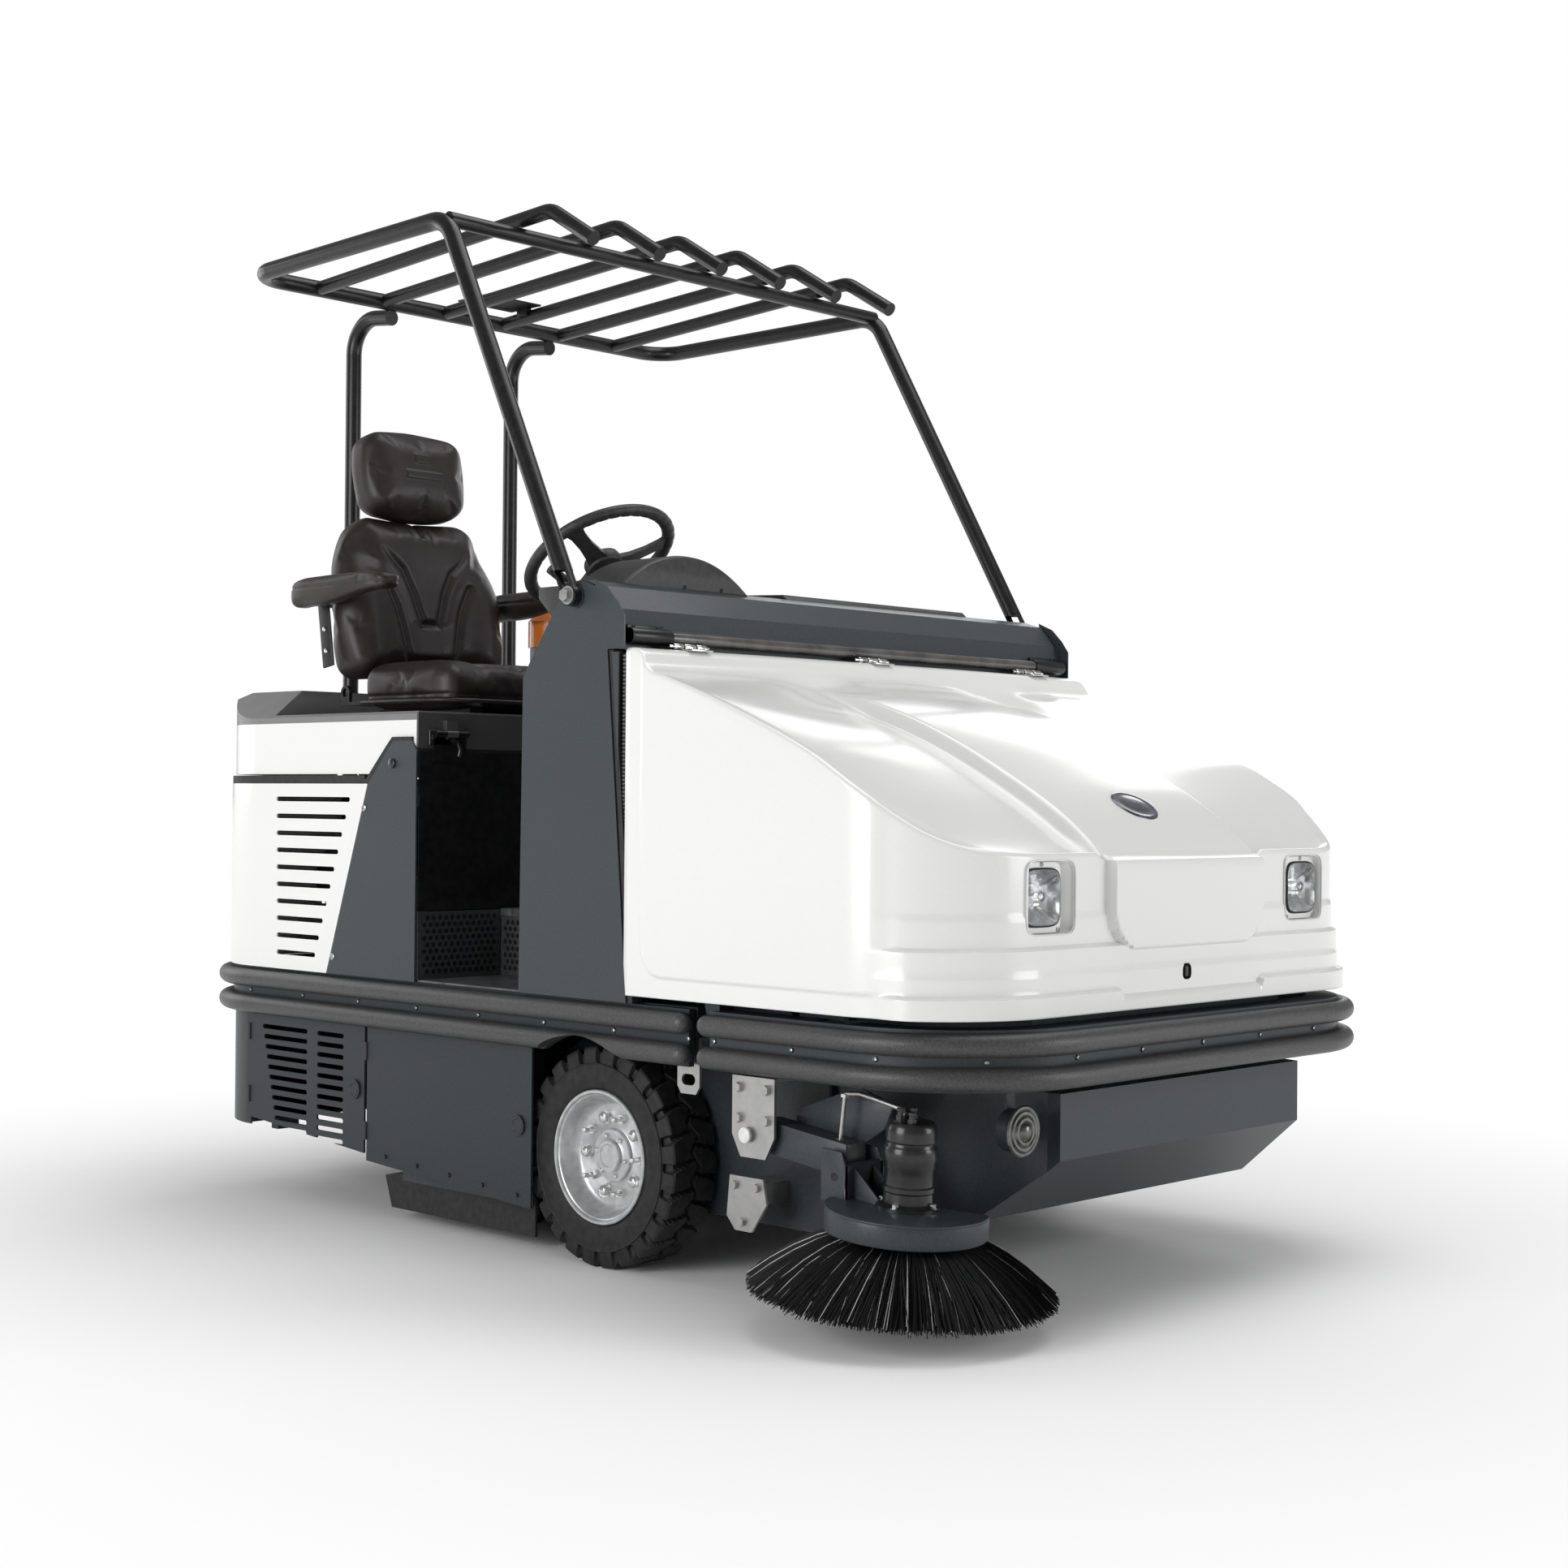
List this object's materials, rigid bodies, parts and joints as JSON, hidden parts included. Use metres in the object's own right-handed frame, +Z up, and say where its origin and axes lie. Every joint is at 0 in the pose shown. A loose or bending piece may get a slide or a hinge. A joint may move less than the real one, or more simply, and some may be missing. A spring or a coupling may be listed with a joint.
{
  "type": "ride-on floor sweeper",
  "caption": "Ride-on sweeper with a high-lift front hopper, rotating brushes, steered rear wheel, driver's seat and an overhead guard.",
  "frame": {"origin": "centre of the machine's overall box, at the floor", "axes": "+Z up, front of the machine towards -Y, the machine's left side on +X"},
  "size_m": [1.6923, 2.6033, 2.2799],
  "materials": {
    "frame_paint": "textured satin blue-grey paint",
    "black_steel": "gloss black paint",
    "zinc": "zinc plated",
    "chromed": "polished",
    "white_panel": "pearl white gloss moulding",
    "dark_plastic": "fine grained",
    "grey_deck": "grained grey moulding",
    "black_rubber": "matt",
    "bumper_rubber": "pebbled grey",
    "floor_plate": "raised tread pattern, dark",
    "seat_vinyl": "soft brown-black vinyl",
    "tyre_black": "worn-in matt black",
    "rim_silver": "silver paint",
    "bristle": "black strands with a few light ones",
    "motor_black": "gloss black",
    "amber": "clear orange",
    "lamp_lens": "clear, ribbed",
    "smoke_lens": "smoked tube"
  },
  "bodies": {
    "chassis": {"chassis_frame": "frame_paint", "side_brush_hanger": "zinc", "brush_chamber": "frame_paint", "rubber_parts": "black_rubber", "lower_body": "frame_paint", "rear_bumper": "bumper_rubber", "pillars": "frame_paint", "quarter_panels": "frame_paint", "rear_shell": "white_panel", "dash_panel": "frame_paint", "light_bar": "smoke_lens", "dash_covers": "dark_plastic", "footwell_floor": "floor_plate", "riser_grilles": "frame_paint", "engine_bay_wall": "frame_paint", "guard_frame": "black_steel", "roof_bars": "black_steel", "steering_column": "dark_plastic", "power_unit": "dark_plastic"},
    "steering": {"steering_wheel": "dark_plastic"},
    "lever": {"stalk": "dark_plastic"},
    "drive_pedal_body": {"drive_pedal": "dark_plastic"},
    "brake_pedal_body": {"brake_pedal": "dark_plastic"},
    "deck": {"engine_hood": "white_panel", "seat_deck": "grey_deck", "beacon_lens": "amber", "seat_base": "black_steel"},
    "seat": {"seat_pan": "black_steel", "seat_cushion": "seat_vinyl"},
    "backrest": {"seat_backrest": "seat_vinyl", "headrest": "seat_vinyl"},
    "arm_right": {"armrest_right": "seat_vinyl"},
    "arm_left": {"armrest_left": "seat_vinyl"},
    "wheel_right": {"front_tyre_right": "tyre_black", "front_rim_right": "rim_silver"},
    "wheel_left": {"front_tyre_left": "tyre_black", "front_rim_left": "rim_silver"},
    "fork": {"rear_fork": "frame_paint"},
    "wheel_rear": {"rear_tyre": "tyre_black", "rear_rim": "rim_silver"},
    "brush_carrier": {"brush_arms": "frame_paint"},
    "brush_roll": {"main_brush": "bristle"},
    "side_carrier": {"side_arm": "frame_paint", "side_motor": "motor_black"},
    "side_roll": {"side_brush": "bristle"},
    "arms": {"lift_arms": "frame_paint"},
    "links": {"lower_links": "frame_paint"},
    "barrels": {"lift_barrels": "motor_black"},
    "rods": {"lift_rods": "chromed"},
    "hopper": {"hopper_tub": "frame_paint", "front_frame": "frame_paint", "front_bumper": "bumper_rubber"},
    "flap": {"hopper_flap": "frame_paint"},
    "hood": {"hood_shell": "white_panel", "headlamps": "lamp_lens"},
    "door_brush_right": {"brush_door_right": "frame_paint"},
    "door_brush_left": {"brush_door_left": "frame_paint"},
    "door_louvre_right": {"louvre_door_right": "frame_paint"},
    "door_louvre_left": {"louvre_door_left": "frame_paint"}
  },
  "joints": [
    {"name": "steering_turn", "type": "hinge", "parent": "chassis", "child": "steering", "pos_m": [-0.321, 0.094, 1.494], "axis": [0, 0.5621, 0.8271], "range_deg": [-540, 540]},
    {"name": "stalk_tilt", "type": "hinge", "parent": "chassis", "child": "lever", "pos_m": [-0.392, 0.015, 1.372], "axis": [0, 1, 0], "range_deg": [-10, 10]},
    {"name": "drive_pedal_press", "type": "hinge", "parent": "chassis", "child": "drive_pedal_body", "pos_m": [-0.418, -0.078, 0.95], "axis": [-1, 0, 0], "range_deg": [0, 18], "stiffness_Nm_per_rad": 6, "springref_deg": -17.19},
    {"name": "brake_pedal_press", "type": "hinge", "parent": "chassis", "child": "brake_pedal_body", "pos_m": [-0.238, -0.078, 0.95], "axis": [-1, 0, 0], "range_deg": [0, 18], "stiffness_Nm_per_rad": 12, "springref_deg": -17.19},
    {"name": "engine_hood_open", "type": "hinge", "parent": "chassis", "child": "deck", "pos_m": [0.082, 0.316, 1.096], "axis": [1, 0, 0], "range_deg": [0, 35]},
    {"name": "seat_slide", "type": "slide", "parent": "deck", "child": "seat", "axis": [0, 1, 0], "range_m": [-0.05, 0.05]},
    {"name": "backrest_recline", "type": "hinge", "parent": "seat", "child": "backrest", "pos_m": [-0.323, 0.747, 1.2], "axis": [-1, 0, 0], "range_deg": [0, 20]},
    {"name": "armrest_right_fold", "type": "hinge", "parent": "backrest", "child": "arm_right", "pos_m": [-0.323, 0.777, 1.42], "axis": [-1, 0, 0], "range_deg": [0, 85]},
    {"name": "armrest_left_fold", "type": "hinge", "parent": "backrest", "child": "arm_left", "pos_m": [-0.323, 0.777, 1.42], "axis": [-1, 0, 0], "range_deg": [0, 85]},
    {"name": "front_right_roll", "type": "hinge", "parent": "chassis", "child": "wheel_right", "pos_m": [-0.536, -0.228, 0.225], "axis": [1, 0, 0], "continuous": true},
    {"name": "front_left_roll", "type": "hinge", "parent": "chassis", "child": "wheel_left", "pos_m": [0.7, -0.228, 0.225], "axis": [1, 0, 0], "continuous": true},
    {"name": "rear_steer", "type": "hinge", "parent": "chassis", "child": "fork", "pos_m": [0.082, 0.882, 0.436], "axis": [0, 0, 1], "range_deg": [-70, 70]},
    {"name": "rear_roll", "type": "hinge", "parent": "fork", "child": "wheel_rear", "pos_m": [0.082, 0.882, 0.2], "axis": [1, 0, 0], "continuous": true},
    {"name": "brush_lift", "type": "hinge", "parent": "chassis", "child": "brush_carrier", "pos_m": [0.082, 0.537, 0.35], "axis": [-1, 0, 0], "range_deg": [0, 6]},
    {"name": "main_brush_spin", "type": "hinge", "parent": "brush_carrier", "child": "brush_roll", "pos_m": [0.082, 0.232, 0.172], "axis": [1, 0, 0], "continuous": true},
    {"name": "side_arm_lift", "type": "hinge", "parent": "chassis", "child": "side_carrier", "pos_m": [-0.563, -0.668, 0.319], "axis": [-1, 0, 0], "range_deg": [-6, 7]},
    {"name": "side_brush_spin", "type": "hinge", "parent": "side_carrier", "child": "side_roll", "pos_m": [-0.563, -1.019, 0.072], "axis": [0, -0.0698, 0.9976], "continuous": true},
    {"name": "hopper_lift", "type": "hinge", "parent": "chassis", "child": "arms", "pos_m": [0.082, -0.288, 1.05], "axis": [-1, 0, 0], "range_deg": [0, 65]},
    {"name": "hopper_level", "type": "hinge", "parent": "arms", "child": "hopper", "pos_m": [0.082, -0.788, 0.62], "axis": [-1, 0, 0], "range_deg": [-65, 0]},
    {"name": "lower_link_turn", "type": "hinge", "parent": "chassis", "child": "links", "pos_m": [0.082, -0.288, 0.89], "axis": [-1, 0, 0], "range_deg": [0, 65]},
    {"name": "barrel_swing", "type": "hinge", "parent": "chassis", "child": "barrels", "pos_m": [0.082, -0.18394, 0.83373], "axis": [-1, 0, 0], "range_deg": [0, 32.5]},
    {"name": "rod_slide", "type": "slide", "parent": "barrels", "child": "rods", "axis": [0, -0.9789, 0.2046], "range_m": [0, 0.1695]},
    {"name": "hopper_flap_swing", "type": "hinge", "parent": "hopper", "child": "flap", "pos_m": [0.082, -0.381, 0.404], "axis": [-1, 0, 0], "range_deg": [0, 75]},
    {"name": "hood_open", "type": "hinge", "parent": "hopper", "child": "hood", "pos_m": [0.082, -0.359, 1.266], "axis": [-1, 0, 0], "range_deg": [0, 45]},
    {"name": "brush_door_right_open", "type": "hinge", "parent": "chassis", "child": "door_brush_right", "pos_m": [-0.616, 0.5415, 0.3], "axis": [0, 0, -1], "range_deg": [0, 100]},
    {"name": "louvre_door_right_open", "type": "hinge", "parent": "chassis", "child": "door_louvre_right", "pos_m": [-0.616, 1.0125, 0.3], "axis": [0, 0, -1], "range_deg": [0, 100]},
    {"name": "brush_door_left_open", "type": "hinge", "parent": "chassis", "child": "door_brush_left", "pos_m": [0.78, 0.5415, 0.3], "axis": [0, 0, 1], "range_deg": [0, 100]},
    {"name": "louvre_door_left_open", "type": "hinge", "parent": "chassis", "child": "door_louvre_left", "pos_m": [0.78, 1.0125, 0.3], "axis": [0, 0, 1], "range_deg": [0, 100]}
  ],
  "couplings": [
    {"joint": "rear_steer", "follows": "steering_turn", "ratio": -0.12963},
    {"joint": "hopper_level", "follows": "hopper_lift", "ratio": -1},
    {"joint": "lower_link_turn", "follows": "hopper_lift", "ratio": 1},
    {"joint": "barrel_swing", "follows": "hopper_lift", "ratio": 0.5},
    {"joint": "rod_slide", "follows": "hopper_lift", "m_per_rad": 0.14925}
  ]
}
